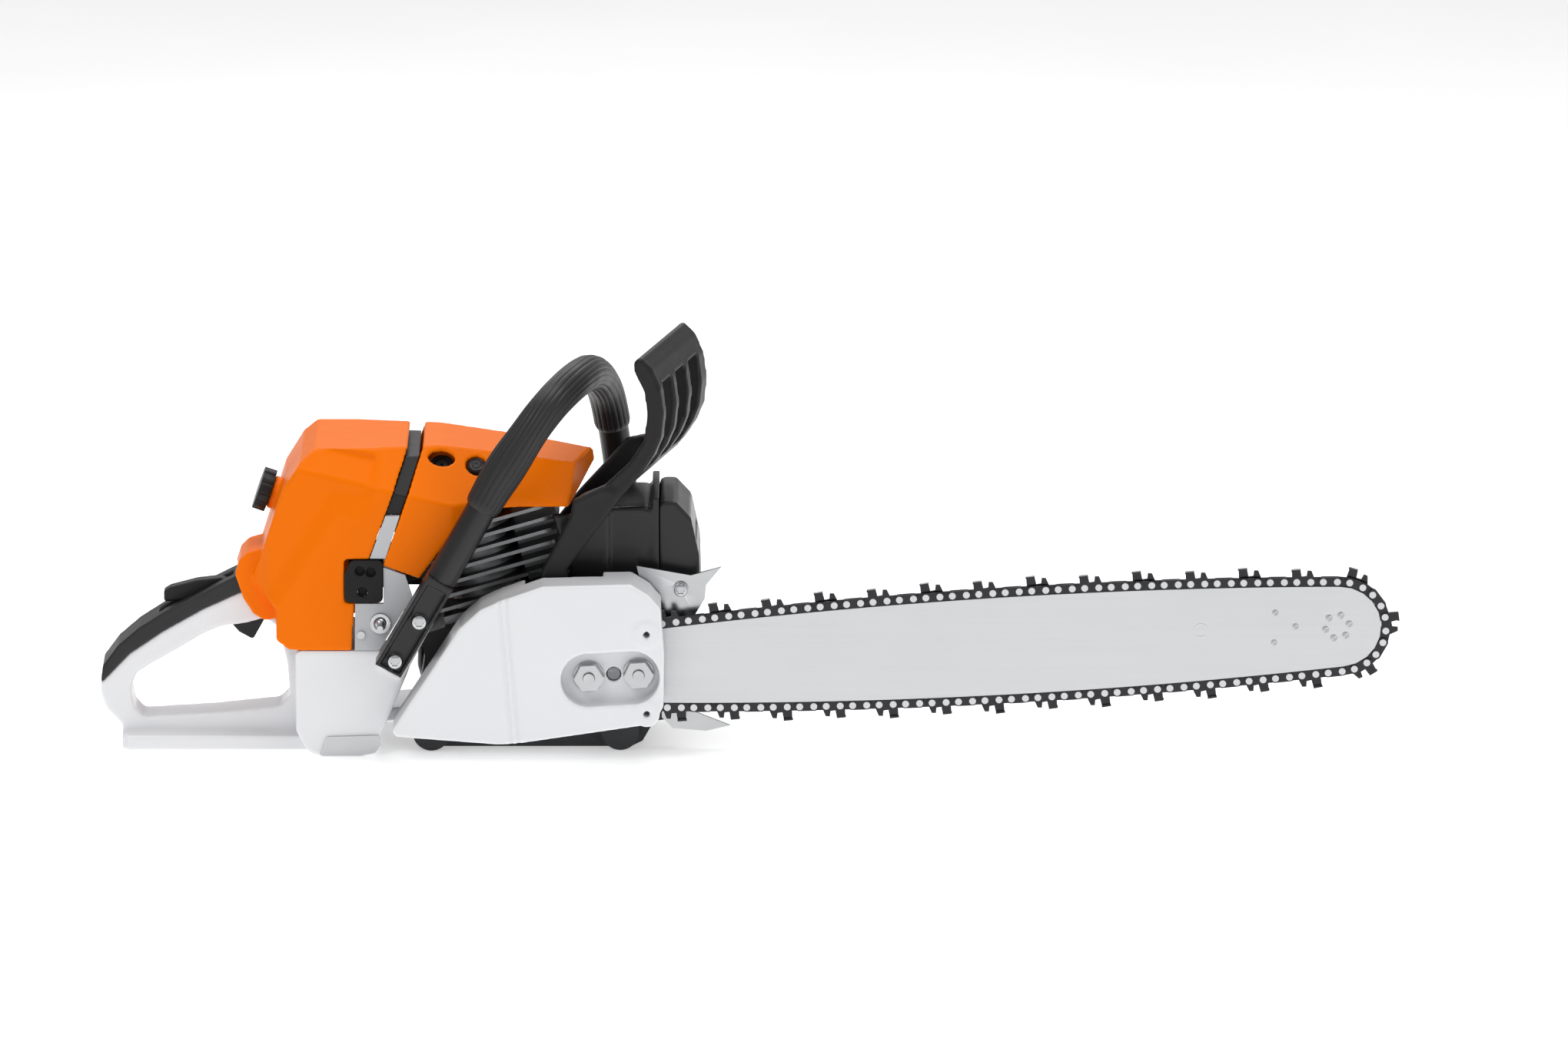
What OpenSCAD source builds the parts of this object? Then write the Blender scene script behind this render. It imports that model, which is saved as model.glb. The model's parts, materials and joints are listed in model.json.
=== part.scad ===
// Petrol chainsaw with a 50 cm guide bar. Millimetres, +X to the bar tip, +Z up, -Y to the sprocket cover side.
// The origin is on the floor plane, straight below the crankshaft axis and in the rear handle's middle plane.

/* [Engine] */
// Height of the crankshaft axis above the floor
crank_z = 59; // [58:0.5:60]
// Rearward lean of the cylinder, degrees
cyl_tilt = 16; // [14:1:18]
// Cylinder bore radius
bore_r = 26; // [25:0.5:26]
// Piston stroke
stroke = 36; // [32:1:36]
// Middle plane of the cylinder and crank webs
cyl_y = 20; // [19:0.5:21]

/* [Cutting gear] */
// Upward tilt of the guide bar, degrees
bar_tilt = 3.4; // [2:0.1:4]
// Middle plane of the guide bar
bar_y = -45; // [-45.5:0.5:-44.5]
// Guide bar thickness
bar_t = 4.6; // [4.4:0.1:4.8]
// Number of drive links in the chain loop
link_count = 72; // [64:4:76]
// Length that one drive link adds to the loop
link_pitch = 19.05; // [19:0.05:19.1]
// Rivet circle radius on the rim sprocket
sprocket_r = 22; // [21.5:0.1:22.5]
// Rivet path radius round the bar nose
nose_r = 33; // [31:0.5:34]
// Radius of each long bowed run of the chain
run_r = 4000; // [3500:100:6000]
// Bar stud spacing
stud_gap = 35.8; // [35:0.1:36]

/* [Body] */
// Near face of the tank and covers
near_y = -50; // [-50.5:0.5:-49.5]
// Far face of the covers
far_y = 68; // [67.5:0.5:68.5]
// Cover wall thickness
wall = 3; // [2:0.5:3]
// Height of the flat top of the covers
cover_top = 222; // [220:1:226]
// Outer face of the sprocket cover
cover_y = -80; // [-82:0.5:-79]

/* [Handles] */
// Radius of the front handle tube
tube_r = 11; // [9:0.5:11]
// Radius of its rubber sleeve
sleeve_r = 13.5; // [13:0.5:14]
// Half width of the rear grip
grip_half = 18; // [16:0.5:19]

/* [Hidden] */
$fn = 48;

// Rear grip: the seam between the frame and its soft cover, and the top of the cover.
seam = [[-294.5, 46], [-274, 67.5], [-250, 84], [-221, 100.5], [-196, 112], [-186, 116]];
grip_top = [[-186, 130], [-197, 125], [-209, 119], [-227, 109.5], [-247, 99.5], [-267, 86.5], [-282, 73.5], [-293, 58.5]];
finger_hole = [[-264, 20], [-214, 23], [-166, 28], [-158, 36], [-160, 62], [-167, 88], [-176, 94], [-190, 90],
    [-207, 88], [-220, 82.5], [-240, 70.5], [-259, 59.5], [-269, 53], [-273, 42], [-271, 28]];

// Side outlines of the body, in X and Z.
tank_outline = [[-153, 77], [-153, 18], [-146, 4], [-138, 0], [-95, 0], [-92, 15], [-73, 60], [-67, 77]];
rear_cover_outline = [[-113, 77.5], [-158, 77.5], [-167, 84], [-167, 106], [-184, 127], [-162, 194], [-149, 214],
    [-139, cover_top], [-72, cover_top], [-100.7, 143], [-110.5, 112], [-111, 108]];
cylinder_cover_outline = [[-90, 140], [-64, 130.5], [-28, 180], [44, 180], [67, 200], [67, 204], [2, 215],
    [-50, cover_top], [-61, cover_top]];
gap_outline = [[-100.2, 144], [-90.5, 141], [-64.2, 215], [-73.7, 215]];
visible_strip = [[-99.3, 145.3], [-88.2, 145.3], [-77.9, 176.5], [-88, 176.5]];
hood_front = [[-50, -60], [-50, 205], [-12, 247], [38, 252], [52, 246], [68, 226], [68, -60]];
hood_fall = 13;
hood_plan = [[-188, -28], [-172, -44], [-150, -50], [-40, -50], [8, -36], [43, -36], [62, 62], [30, 68],
    [-150, 68], [-172, 58], [-188, 42]];
sprocket_cover_outline = [[-84, 24], [-81, 20], [-8, 15], [5, 15.5], [96, 29], [107, 35], [111.5, 43], [112, 80],
    [109.5, 115], [101, 125], [88, 133], [25, 131.5], [-5, 121], [-20, 114], [-35, 100]];
crankcase_outline = [[-62, 6], [-66, 30], [-60, 70], [-46, 87.6], [23.6, 107.4], [60, 98], [104, 92], [108, 60],
    [108, 25], [96, 4], [88, 0], [-54, 0]];
guard_profile = [[50, 190], [68, 197], [87, 215], [98, 232], [100.5, 251], [98.5, 267], [91, 282], [90.5, 289], [95, 292.5],
    [103.5, 285], [110, 271], [112.5, 252], [110.5, 234], [105, 221], [97, 209], [83, 192], [66, 180]];
arm_outline = [[24, 112], [24, 135], [45, 176], [47, 187], [68, 197], [83, 192], [62.6, 164], [42.5, 136], [40, 112]];

far_arm_outline = [[24, 112], [24, 135], [50, 168], [72, 192], [84, 206], [112, 212], [104, 196], [80, 170], [44, 136],
    [40, 112]];

// Front handle centreline, hand-chosen points smoothed by a spline.
handle_points = [[-47.8, -67, 134.4], [-29, -67, 167.5], [-8, -67, 205], [16, -65, 242], [30, -57, 259],
    [41, -38, 267], [50, -10, 269], [57, 22, 266], [63, 56, 256], [69, 84, 238], [74, 98, 210], [80, 103, 165],
    [86, 103, 118], [90, 100, 70], [92, 96, 30], [92, 94, 10.2]];
sleeve_from = 1.5;
sleeve_to = 10;

// Engine sizes along the cylinder axis, measured from the crankshaft.
throw = stroke / 2;
rod_length = 68;
pin_at = throw + rod_length;
crown_at = pin_at + 18;
web_r = 34;
pivot_x = 32;
pivot_z = 118;
stud_x = 58;

// Chain path: two small circles joined by two bowed runs, solved so that the loop length fits the chain.
loop_length = link_count * link_pitch;
function run_u(l) = (l * l + pow(run_r - sprocket_r, 2) - pow(run_r - nose_r, 2)) / (2 * l);
function run_w(l) = sqrt(pow(run_r - sprocket_r, 2) - pow(run_u(l), 2));
function rear_angle(l) = atan2(run_w(l), -run_u(l));
function nose_angle(l) = atan2(run_w(l), l - run_u(l));
function arc(r, a) = r * a * PI / 180;
function perimeter(l) = 2 * (arc(run_r, rear_angle(l) - nose_angle(l)) + arc(nose_r, nose_angle(l))
    + arc(sprocket_r, 180 - rear_angle(l)));
function solve_reach(l, n) = n == 0 ? l : solve_reach(l + (loop_length - perimeter(l)) / 2, n - 1);
reach = solve_reach(598, 12);
rear_a = rear_angle(reach);
nose_a = nose_angle(reach);
run_len = arc(run_r, rear_a - nose_a);
nose_len = arc(nose_r, nose_a);
half_loop = loop_length / 2;
// Upper half of the path by distance from the nose tip: [x, z, direction angle].
function half_path(s) =
    s < nose_len ? let (a = s / nose_r * 180 / PI) [reach + nose_r * cos(a), nose_r * sin(a), a + 90]
    : s < nose_len + run_len ? let (a = nose_a + (s - nose_len) / run_r * 180 / PI)
        [run_u(reach) + run_r * cos(a), run_r * sin(a) - run_w(reach), a + 90]
    : let (a = rear_a + (s - nose_len - run_len) / sprocket_r * 180 / PI)
        [sprocket_r * cos(a), sprocket_r * sin(a), a + 90];
function path_at(s) = s <= half_loop ? half_path(s)
    : let (p = half_path(loop_length - s)) [p[0], -p[1], 180 - p[2]];
rivet_half = 5.05;
strap_t = 1.4;
tang_t = 1.6;
bar_edge = 3.5;

// Catmull-Rom spline through a list of points.
function spline(p, t) = let (n = len(p) - 1, i = max(0, min(floor(t), n - 1)), f = t - i,
    a = p[max(i - 1, 0)], b = p[i], c = p[i + 1], d = p[min(i + 2, n)])
    0.5 * (2 * b + (c - a) * f + (2 * a - 5 * b + 4 * c - d) * f * f + (3 * b - a - 3 * c + d) * f * f * f);
function unit(v) = v / norm(v);

// One ring of points round a spline.
function ring_at(p, r, t, sides) = let (c = spline(p, t), d = unit(spline(p, t + 0.02) - spline(p, t - 0.02)),
    u = unit(cross(d, [1, -0.45, 0])), w = cross(d, u))
    [for (k = [0:sides - 1]) c + r * (u * cos(k * 360 / sides) + w * sin(k * 360 / sides))];

// A hollow sleeve swept along a spline between two parameters.
module swept_sleeve(p, r, bore, t0, t1, rings, sides) {
    ts = [for (k = [0:rings]) t0 + (t1 - t0) * k / rings];
    m = (rings + 1) * sides;
    verts = concat([for (t = ts) each ring_at(p, r, t, sides)], [for (t = ts) each ring_at(p, bore, t, sides)]);
    outer = [for (j = [0:rings - 1]) for (k = [0:sides - 1]) let (n = (k + 1) % sides)
        [j * sides + k, j * sides + n, (j + 1) * sides + n, (j + 1) * sides + k]];
    inner = [for (f = outer) [f[3] + m, f[2] + m, f[1] + m, f[0] + m]];
    low = [for (k = [0:sides - 1]) let (n = (k + 1) % sides) [k, k + m, n + m, n]];
    last = rings * sides;
    high = [for (k = [0:sides - 1]) let (n = (k + 1) % sides) [last + n, last + n + m, last + k + m, last + k]];
    polyhedron(verts, concat(outer, inner, low, high));
}

// A round tube swept along a spline between two parameters.
module swept_tube(p, r, t0, t1, rings, sides) {
    ts = [for (k = [0:rings]) t0 + (t1 - t0) * k / rings];
    verts = [for (t = ts) each ring_at(p, r, t, sides)];
    skin = [for (j = [0:rings - 1]) for (k = [0:sides - 1]) let (n = (k + 1) % sides)
        [j * sides + k, j * sides + n, (j + 1) * sides + n, (j + 1) * sides + k]];
    low = [for (k = [sides - 1:-1:0]) k];
    high = [for (k = [0:sides - 1]) rings * sides + k];
    polyhedron(verts, concat(skin, [low, high]));
}

// Extrudes an X-Z outline between two Y planes.
module side(y0, y1) { translate([0, y1, 0]) rotate([90, 0, 0]) linear_extrude(y1 - y0) children(); }
// Extrudes a Y-Z outline between two X planes.
module front(x0, x1) { translate([x0, 0, 0]) rotate([90, 0, 90]) linear_extrude(x1 - x0) children(); }
// Extrudes an X-Y outline between two Z planes.
module plan(z0, z1) { translate([0, 0, z0]) linear_extrude(z1 - z0) children(); }
// A cylinder along Y.
module rod_y(x, z, y0, y1, r) { translate([x, y0, z]) rotate([-90, 0, 0]) cylinder(h = y1 - y0, r = r); }
module box(a, b) { translate(a) cube(b - a); }
module rounded(r) { offset(r) offset(delta = -r) children(); }
module at_button() { translate([-23, -22, 205]) rotate([42, 0, 0]) children(); }
module at_lock() { translate([-48, -21.5, 210]) rotate([42, 0, 0]) scale([1, 0.66, 1]) children(); }
module at_knob() { translate([-165, 6, 180]) rotate([0, -71, 0]) children(); }
module on_cylinder() { translate([0, cyl_y, crank_z]) rotate([0, -cyl_tilt, 0]) children(); }
module in_bar_frame() { translate([0, 0, crank_z]) rotate([0, -bar_tilt, 0]) children(); }
// Places children in the X-Z plane of the bar, at a place and angle on the chain path.
module on_path(s) {
    p = path_at(s);
    in_bar_frame() translate([p[0], 0, p[1]]) rotate([0, -p[2], 0]) children();
}

// Tank, rear handle frame and the arms that carry the front handle.
module handle_frame_outline() {
    difference() {
        polygon(concat([[-279, 0], [-279, 15], [-290, 26], [-294, 36]], seam, [[-186, 130], [-160, 130], [-150, 100],
            [-150, 0]]));
        rounded(6) polygon(finger_hole);
    }
}
module control_slots() {
    box([-252, -6.5, 92], [-199, 6.5, 135]);
    box([-210, -5.3, 70], [-168, 5.3, 113]);
}
module tank_housing() {
    color("gainsboro") difference() {
        union() {
            side(near_y, 58) rounded(4) polygon(tank_outline);
            side(-grip_half, grip_half) handle_frame_outline();
            plan(0, 10) rounded(8) polygon([[-279, -33], [-140, -33], [-140, 33], [-279, 33]]);
            plan(0, 10) rounded(8) polygon([[-130, 40], [-60, 64], [106, 64], [106, 112], [-80, 112], [-130, 57]]);
            side(-55.8, near_y + 4) rounded(4) polygon([[-94, 66], [-78, 54], [-52, 102], [-66, 111]]);
        }
        side(near_y + wall, 55) offset(delta = -wall) polygon([[-151, 74], [-151, 20], [-144, 4], [-98, 4], [-94, 16],
            [-78, 60], [-78, 74]]);
        rod_y(-118, 40, 50, 60, 15);
        box([-96, -20, 60], [-60, 60, 80]);
        control_slots();
        rod_y(-178, 106, -12, 12, 2.55);
        rod_y(-204, 111, -12, 12, 2.55);
    }
}
module rear_grip_cover() {
    color([0.14, 0.14, 0.15]) difference() {
        side(-grip_half - 1, grip_half + 1) polygon(concat(seam, grip_top));
        control_slots();
        rod_y(-204, 111, -12, 12, 2.55);
    }
}
module throttle_trigger() {
    color([0.12, 0.12, 0.13]) {
        side(-4.5, 4.5) rounded(2) polygon([[-204, 91], [-195, 80.5], [-185, 75], [-175, 93], [-173, 108],
            [-180, 111], [-190, 103], [-199, 99.5]]);
        rod_y(-178, 106, -11, 11, 2.5);
    }
}
module trigger_interlock() {
    color([0.12, 0.12, 0.13]) {
        side(-5.5, 5.5) rounded(2) polygon([[-249, 103], [-249, 111], [-244, 114], [-225, 119], [-208, 121],
            [-200, 118], [-200, 107], [-208, 106]]);
        rod_y(-204, 111, -11, 11, 2.5);
    }
}
module wear_plate() {
    color("silver") side(near_y - 1.5, near_y) rounded(1) polygon([[-136, 0], [-130.6, 14], [-93.5, 15], [-92.3, 8],
        [-96, 2.6], [-106, 0]]);
}
// A screw cap with a slotted grip, closing a filler neck on the left side.
module filler_cap(x, z, y, r) {
    rod_y(x, z, y - 8, y, r - 0.3);
    difference() {
        rod_y(x, z, y + 0.2, y + 8, r + 3);
        rod_y(x, z, y + 3, y + 9, r);
    }
    rod_y(x, z, y, y + 3, r);
    box([x - r, y + 3, z - 2.5], [x + r, y + 8, z + 2.5]);
}
module fuel_cap() { color([0.16, 0.16, 0.17]) filler_cap(-118, 40, 58.3, 15); }
module oil_cap() { color([0.16, 0.16, 0.17]) filler_cap(76, 45, 60.3, 12); }

// Covers
module hood(inset) {
    intersection() {
        translate([-155, 0, 0]) rotate([0, hood_fall, 0]) translate([155, 0, 0]) front(-290, 180)
            offset(delta = -inset) polygon(hood_front);
        plan(60, 240) offset(delta = -inset) polygon(hood_plan);
        side(-60, 80) children();
    }
}
module rear_filter_cover() {
    color("darkorange") difference() {
        union() {
            difference() {
                hood(0) polygon(rear_cover_outline);
                hood(wall) polygon([[-90, 60], [-155, 60], [-164, 86], [-164, 107], [-180.5, 127], [-157, 192.5],
                    [-142.5, 213], [-133, cover_top - wall], [-60, cover_top - wall]]);
            }
            side(-26, 26) rounded(4) polygon([[-165, 96], [-176, 94], [-184, 99], [-191, 110], [-197, 128], [-194, 138],
                [-188, 144], [-177, 147], [-165, 147]]);
            at_knob() translate([0, 0, -3]) cylinder(h = 10, r = 12);
        }
        box([-200, -19.5, 76], [-150, 19.5, 131]);
        box([-118, near_y - 2, 112.5], [-90, near_y + 6, 144.5]);
        at_knob() translate([0, 0, -20]) cylinder(h = 40, r = 4.2);
    }
}
module filter_cover_knob() {
    color([0.1, 0.1, 0.11]) at_knob() difference() {
        union() {
            translate([0, 0, 7.4]) cylinder(h = 9, r = 15.5);
            translate([0, 0, -10]) cylinder(h = 18, r = 4);
        }
        for (k = [0:11]) rotate([0, 0, k * 30]) translate([16.6, 0, 5]) cylinder(h = 14, r = 2.2);
    }
}
module cylinder_cover() {
    color("darkorange") difference() {
        hood(0) polygon(cylinder_cover_outline);
        hood(wall) polygon([[-100, 100], [-50, 100], [90, 160], [90, 199], [3, 212], [-50, cover_top - wall],
            [-70, cover_top - wall]]);
        at_lock() cylinder(h = 34, r = 9.5, center = true);
        at_button() cylinder(h = 40, r = 7.5, center = true);
    }
}
module inner_shroud() {
    color([0.1, 0.1, 0.11]) difference() {
        hood(wall + 0.6) polygon(gap_outline);
        hood(wall + 3) polygon([[-130, 100], [-60, 100], [-30, 209], [-110, 209]]);
        box([-110, -60, 130], [-60, -30, 177]);
    }
}
module control_panel() {
    color("lightgray") {
        side(near_y + 0.3, near_y + wall + 1) difference() {
            polygon([[-110.5, 77.5], [-93, 77.5], [-69, 117], [-74, 133], [-89.6, 138.6], [-89.6, 112], [-110, 112]]);
            translate([-92, 97.8]) circle(r = 7.3);
        }
        side(near_y + 0.3, near_y + wall + 2.6) polygon(visible_strip);
        side(near_y + wall + 0.3, near_y + wall + 2.6) polygon([[-89.5, 128], [-81, 128], [-81, 150], [-89.5, 150]]);
    }
}
module carb_grommet() {
    color([0.1, 0.1, 0.11]) side(near_y - 1.5, near_y + 3) difference() {
        rounded(4) polygon([[-117.5, 113], [-90, 113], [-90, 144], [-113, 144], [-117.5, 134]]);
        translate([-106.5, 136.4]) circle(r = 3.6);
        translate([-98.7, 135.4]) circle(r = 3.6);
        translate([-104.7, 120.8]) circle(r = 3.6);
    }
}
module panel_hardware() {
    color("silver") {
        difference() {
            rod_y(-92, 97.8, near_y - 2.5, near_y + 2, 7.2);
            rod_y(-92, 97.8, near_y - 3, near_y + 3, 5);
        }
        rod_y(-106, 89, near_y - 1.2, near_y + 0.3, 2.9);
    }
}
module heater_switch() {
    color("silver") translate([-92, near_y - 1, 97.8]) {
        sphere(r = 4.6);
        rotate([98, 0, 0]) cylinder(h = 11, r = 2.2);
    }
}
module control_lever() {
    color([0.12, 0.12, 0.13]) {
        rod_y(-140, 112, far_y + 0.4, far_y + 6, 7);
        side(far_y + 0.4, far_y + 7) rounded(2) polygon([[-143, 110], [-166, 118], [-172, 124], [-168, 127], [-138, 117]]);
    }
}

// Intake
module carburettor() {
    color("darkgray") {
        box([-116, 2, 112], [-86, 38, 139]);
        rod_y(-102, 126, -6, 2, 5);
    }
}
module air_filter() {
    color([0.35, 0.36, 0.38]) difference() {
        side(-30, 46) rounded(8) polygon([[-119, 140], [-150, 140], [-158, 160], [-147, 196], [-105, 206], [-96, 190]]);
        at_knob() translate([0, 0, -40]) cylinder(h = 50, r = 4.8);
    }
}
module intake_boot() {
    color([0.1, 0.1, 0.11]) difference() {
        box([-85.7, 6, 113], [-50.5, 34, 138]);
        on_cylinder() box([-45, -60, 0], [60, 60, 150]);
        translate([-90, 20, 125.5]) rotate([0, 90, 0]) cylinder(h = 50, r = 10);
    }
}

// Engine
module engine_cylinder() {
    color("silver") difference() {
        on_cylinder() difference() {
            union() {
                translate([0, 0, 40]) cylinder(h = 72, r = 31);
                box([-36, -33, 40], [36, 33, 46]);
                for (z = [51:9:105]) plan(z, z + 2.6) rounded(10) polygon([[-44, -39], [62, -39], [62, 41.5], [-44, 41.5]]);
                box([30, -22, 52], [60, 22, 92]);
            }
            translate([0, 0, 30]) cylinder(h = 76, r = bore_r + 0.05);
            translate([0, 0, 100]) cylinder(h = 30, r = 6.9);
            translate([24, 0, 70]) rotate([0, 90, 0]) cylinder(h = 50, r = 13);
            translate([12, -20, 100]) rotate([38, 0, 0]) cylinder(h = 50, r = 4.6);
        }
        box([14, -30, 90], [60, -15.9, 128]);
        box([14, 51.9, 90], [60, 70, 128]);
    }
}
module spark_plug() {
    color("white") on_cylinder() {
        translate([0, 0, 105]) cylinder(h = 12, r = 6.8);
        translate([0, 0, 116.2]) cylinder(h = 7, r = 9.5, $fn = 6);
        translate([0, 0, 123.2]) cylinder(h = 16, r = 4.5);
    }
}
module spark_plug_cap() {
    color([0.1, 0.1, 0.11]) on_cylinder() difference() {
        translate([0, 0, 124]) cylinder(h = 20, r = 8);
        translate([0, 0, 123]) cylinder(h = 16.4, r = 4.6);
    }
}
module decompression_button() {
    color([0.1, 0.1, 0.11]) at_button() {
        translate([0, 0, -16]) cylinder(h = 14, r = 3);
        translate([0, 0, -3]) cylinder(h = 8, r = 6);
    }
}
module muffler() {
    color([0.13, 0.13, 0.14]) {
        side(-19, 64) rounded(5) polygon([[63, 100], [103, 100], [103, 176], [72, 176], [63, 166]]);
        box([103, -19.5, 96], [108, 70, 183]);
        side(-22.2, -19.2) polygon([[44, 128], [66, 99], [72, 99], [72, 172], [31, 172]]);
        box([67, -20, 102], [71, -18, 164]);
    }
}
module muffler_front() {
    color([0.13, 0.13, 0.14]) difference() {
        side(-19, 64) rounded(5) polygon([[108, 98], [133, 98], [138, 112], [137, 140], [131, 168], [120, 180], [108, 180]]);
        for (z = [112:12:172]) box([133, -10, z], [142, 52, z + 4]);
    }
}
module crankcase() {
    color([0.3, 0.31, 0.32]) difference() {
        union() {
            side(-22, 60) polygon(crankcase_outline);
            side(-22.5, -16) rounded(3) polygon([[18, 98], [24, 126], [40, 126], [54, 96]]);
            side(52, 60) rounded(3) polygon([[18, 98], [24, 126], [40, 126], [54, 96]]);
            side(-22, -19.3) polygon([[-58, 58], [-44, 84], [-32, 94], [-48, 132], [-80, 139], [-82, 112], [-64, 79]]);
            rod_y(pivot_x, pivot_z, -37.6, -16, 6);
            rod_y(pivot_x, pivot_z, 59, 71.6, 6);
            rod_y(pivot_x, pivot_z, -45.5, -30, 3.95);
            rod_y(pivot_x, pivot_z, 65, 78.5, 3.95);
            in_bar_frame() side(bar_y + bar_t / 2, -20) rounded(6) polygon([[46, -14], [108, -20], [108, 20], [46, 14]]);
            rod_y(-56, 13.5, -36, -20, 13.5);
            rod_y(80, 13.5, -34, -20, 13.5);
            side(-30, -20) rounded(3) polygon([[100, 20], [128, 24], [130, 106], [122, 128], [100, 128], [90, 90]]);
        }
        rod_y(0, crank_z, 3, 37, 36);
        on_cylinder() translate([0, 0, 5]) cylinder(h = 45, r = bore_r + 1.5);
        on_cylinder() box([-60, -60, 40], [36, 60, 80]);
        rod_y(0, crank_z, -23, 61, 9);
        rod_y(0, crank_z, -12, 4, 17.5);
        rod_y(0, crank_z, 36, 52, 17.5);
        side(-8, 48) rounded(6) polygon([[54, 14], [98, 14], [98, 82], [54, 82]]);
        rod_y(76, 45, 40, 61, 12);
        in_bar_frame() for (k = [0, 1]) rod_y(stud_x + k * stud_gap, 0, -43, -12, 4);
    }
}
module main_bearings() {
    color("silver") for (y = [-11.9, 40.5]) difference() {
        rod_y(0, crank_z, y, y + 11, 17.5);
        rod_y(0, crank_z, y - 1, y + 12, 7.6);
    }
}
module crankshaft() {
    color("gray") {
        rod_y(0, crank_z, -56, -26, 5);
        rod_y(0, crank_z, -27, 4, 7.5);
        rod_y(0, crank_z, 3.5, 12.5, web_r);
        rod_y(0, crank_z, 27.5, 36.5, web_r);
        rod_y(0, crank_z, 36, 62, 7.5);
        rod_y(0, crank_z, 60, 88, 5);
    }
}
module flywheel() {
    color("silver") difference() {
        union() {
            rod_y(0, crank_z, 62.5, 68, 43);
            rod_y(0, crank_z, 62.5, 82, 14);
            for (k = [0:15]) translate([0, 0, crank_z]) rotate([0, k * 22.5, 0]) box([16, 67, -1.2], [42, 80, 1.2]);
        }
        rod_y(0, crank_z, 62, 90, 5);
        rod_y(0, crank_z, 61, 62.6, 8);
    }
}
module ignition_module() {
    color([0.1, 0.1, 0.11]) box([-20, 64, 102.5], [6, 80, 110]);
}
module piston() {
    color("silver") on_cylinder() difference() {
        translate([0, 0, pin_at - 14]) cylinder(h = crown_at - pin_at + 14, r = bore_r);
        translate([0, 0, pin_at - 15]) cylinder(h = 27, r = bore_r - 3.5);
        translate([0, -30, pin_at]) rotate([-90, 0, 0]) cylinder(h = 60, r = 6);
    }
}
module wrist_pin() {
    color("gray") on_cylinder() difference() {
        translate([0, -24, pin_at]) rotate([-90, 0, 0]) cylinder(h = 48, r = 6);
        translate([0, -25, pin_at]) rotate([-90, 0, 0]) cylinder(h = 50, r = 3.5);
    }
}
module connecting_rod() {
    color("gray") on_cylinder() difference() {
        union() {
            translate([0, -6.5, throw]) rotate([-90, 0, 0]) cylinder(h = 13, r = 13);
            translate([0, -5, pin_at]) rotate([-90, 0, 0]) cylinder(h = 10, r = 9.5);
            box([-5, -3, throw + 8], [5, 3, pin_at - 6]);
        }
        translate([0, -30, throw]) rotate([-90, 0, 0]) cylinder(h = 60, r = 8);
        translate([0, -30, pin_at]) rotate([-90, 0, 0]) cylinder(h = 60, r = 6);
    }
}
module crank_pin() {
    color("silver") on_cylinder() translate([0, -7, throw]) rotate([-90, 0, 0]) cylinder(h = 14, r = 8);
}

// Clutch and brake
module clutch_hub() {
    color("gray") difference() {
        union() {
            rod_y(0, crank_z, -36.5, -28, 12);
            for (k = [0:2]) translate([0, 0, crank_z]) rotate([0, k * 120 + 16, 0]) box([8, -36.5, -2.2], [26, -28, 2.2]);
        }
        rod_y(0, crank_z, -40, -26, 5);
    }
}
module clutch_shoes() {
    color("dimgray") for (k = [0:2]) translate([0, -28.5, crank_z]) rotate([90, k * 120 + 8, 0])
        rotate_extrude(angle = 104) translate([17, 0]) square([18, 7.5]);
}
module clutch_drum() {
    color("silver") difference() {
        union() {
            rod_y(0, crank_z, -40, -25.5, 38);
            rod_y(0, crank_z, -49, -39, 11);
        }
        rod_y(0, crank_z, -38, -20, 36);
        rod_y(0, crank_z, -50, -30, 7.5);
    }
}
module drum_bearing() {
    color("silver") difference() {
        rod_y(0, crank_z, -48.5, -38.5, 7.4);
        rod_y(0, crank_z, -50, -30, 5.2);
    }
}
module rim_sprocket() {
    color("gray") difference() {
        union() {
            rod_y(0, crank_z, -49, -41, 12);
            rod_y(0, crank_z, -49, -46.3, 18.3);
            rod_y(0, crank_z, -43.7, -41, 18.3);
        }
        rod_y(0, crank_z, -50, -40, 11.05);
    }
}
module brake_band() {
    color("gray") difference() {
        rod_y(0, crank_z, -38.5, -28, 40);
        rod_y(0, crank_z, -40, -26, 38.4);
        box([-60, -40, 50], [-20, -26, 66]);
    }
}
module oil_pump() {
    color("dimgray") difference() {
        rod_y(0, crank_z, -25.2, -22, 22);
        rod_y(0, crank_z, -27, -20, 9.5);
    }
}
module sprocket_cover() {
    color("gainsboro") difference() {
        union() {
            difference() {
                side(cover_y, -36) rounded(4) polygon(sprocket_cover_outline);
                side(cover_y + wall, -30) offset(delta = -wall) polygon(sprocket_cover_outline);
            }
            in_bar_frame() side(-65, bar_y - bar_t / 2 - 0.05) rounded(10) polygon([[46, -11], [106, -11], [106, 11], [46, 11]]);
            intersection() {
                in_bar_frame() side(cover_y + 0.5, -61) rounded(20) polygon([[34, -23], [114, -23], [114, 23], [34, 23]]);
                side(cover_y, -36) offset(delta = -1) polygon(sprocket_cover_outline);
            }
            for (z = [37.5, 96]) rod_y(99.5, z, cover_y - 0.8, cover_y + 10, 9.3);
        }
        in_bar_frame() side(cover_y - 2, -65) rounded(19.4) polygon([[38, -19.5], [109, -19.5], [109, 19.5], [38, 19.5]]);
        in_bar_frame() for (k = [0, 1]) rod_y(stud_x + k * stud_gap, 0, -70, -40, 4.4);
        in_bar_frame() rod_y(stud_x + stud_gap / 2, 0, -70, -40, 5.4);
        for (z = [37.5, 96]) rod_y(99.5, z, -90, -60, 2.5);
        box([100, -53, 22], [120, -30, 113]);
        box([60, -50, 8], [104, -30, 44]);
        box([12, -50, 103], [68, -30, 145]);
    }
}
module bar_studs() {
    color("silver") in_bar_frame() for (k = [0, 1]) rod_y(stud_x + k * stud_gap, 0, -76, -12, 4);
}
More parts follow.
